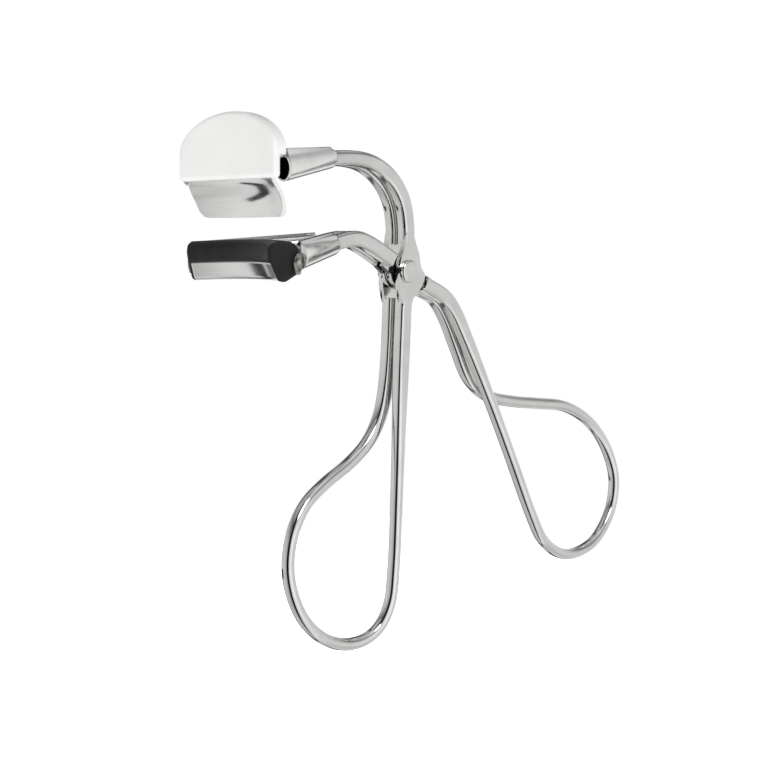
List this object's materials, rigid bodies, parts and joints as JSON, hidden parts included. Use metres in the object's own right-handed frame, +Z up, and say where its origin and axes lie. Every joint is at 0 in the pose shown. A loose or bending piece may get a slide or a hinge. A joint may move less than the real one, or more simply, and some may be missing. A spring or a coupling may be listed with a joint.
{
  "type": "eyelash curler",
  "caption": "Scissor-action eyelash curler of bent polished rod, with curved jaws, a silicone pad, finger loops and a white eyelid guard.",
  "frame": {"origin": "middle of the rivet's axis, on the mid-plane between the two sides of the tool", "axes": "-X towards the eye, +Z up with the handles hanging down, Y across the jaws with -Y the near side"},
  "size_m": [0.1164, 0.031, 0.1012],
  "materials": {
    "polished_steel": "mirror-polished stainless steel",
    "satin_steel": "finely polished pressed steel sheet",
    "braze": "rough grey brazing metal",
    "white_plastic": "smooth moulded white plastic",
    "silicone": "matte black silicone"
  },
  "bodies": {
    "upper": {"upper_lever": "polished_steel", "upper_bracket_near": "polished_steel", "upper_bracket_far": "polished_steel", "upper_jaw_bar": "satin_steel", "eyelid_guard": "white_plastic", "pivot_rivet": "polished_steel", "pivot_spacer": "satin_steel"},
    "lower": {"lower_lever": "polished_steel", "lower_bracket_near": "polished_steel", "lower_bracket_far": "polished_steel", "lower_braze_near": "braze", "lower_braze_far": "braze", "pad_holder": "satin_steel", "lash_pad": "silicone"}
  },
  "joints": [
    {"name": "jaw_pivot", "type": "hinge", "parent": "upper", "child": "lower", "pos_m": [0, 0, 0], "axis": [0, 1, 0], "range_deg": [-4, 5.6]}
  ]
}
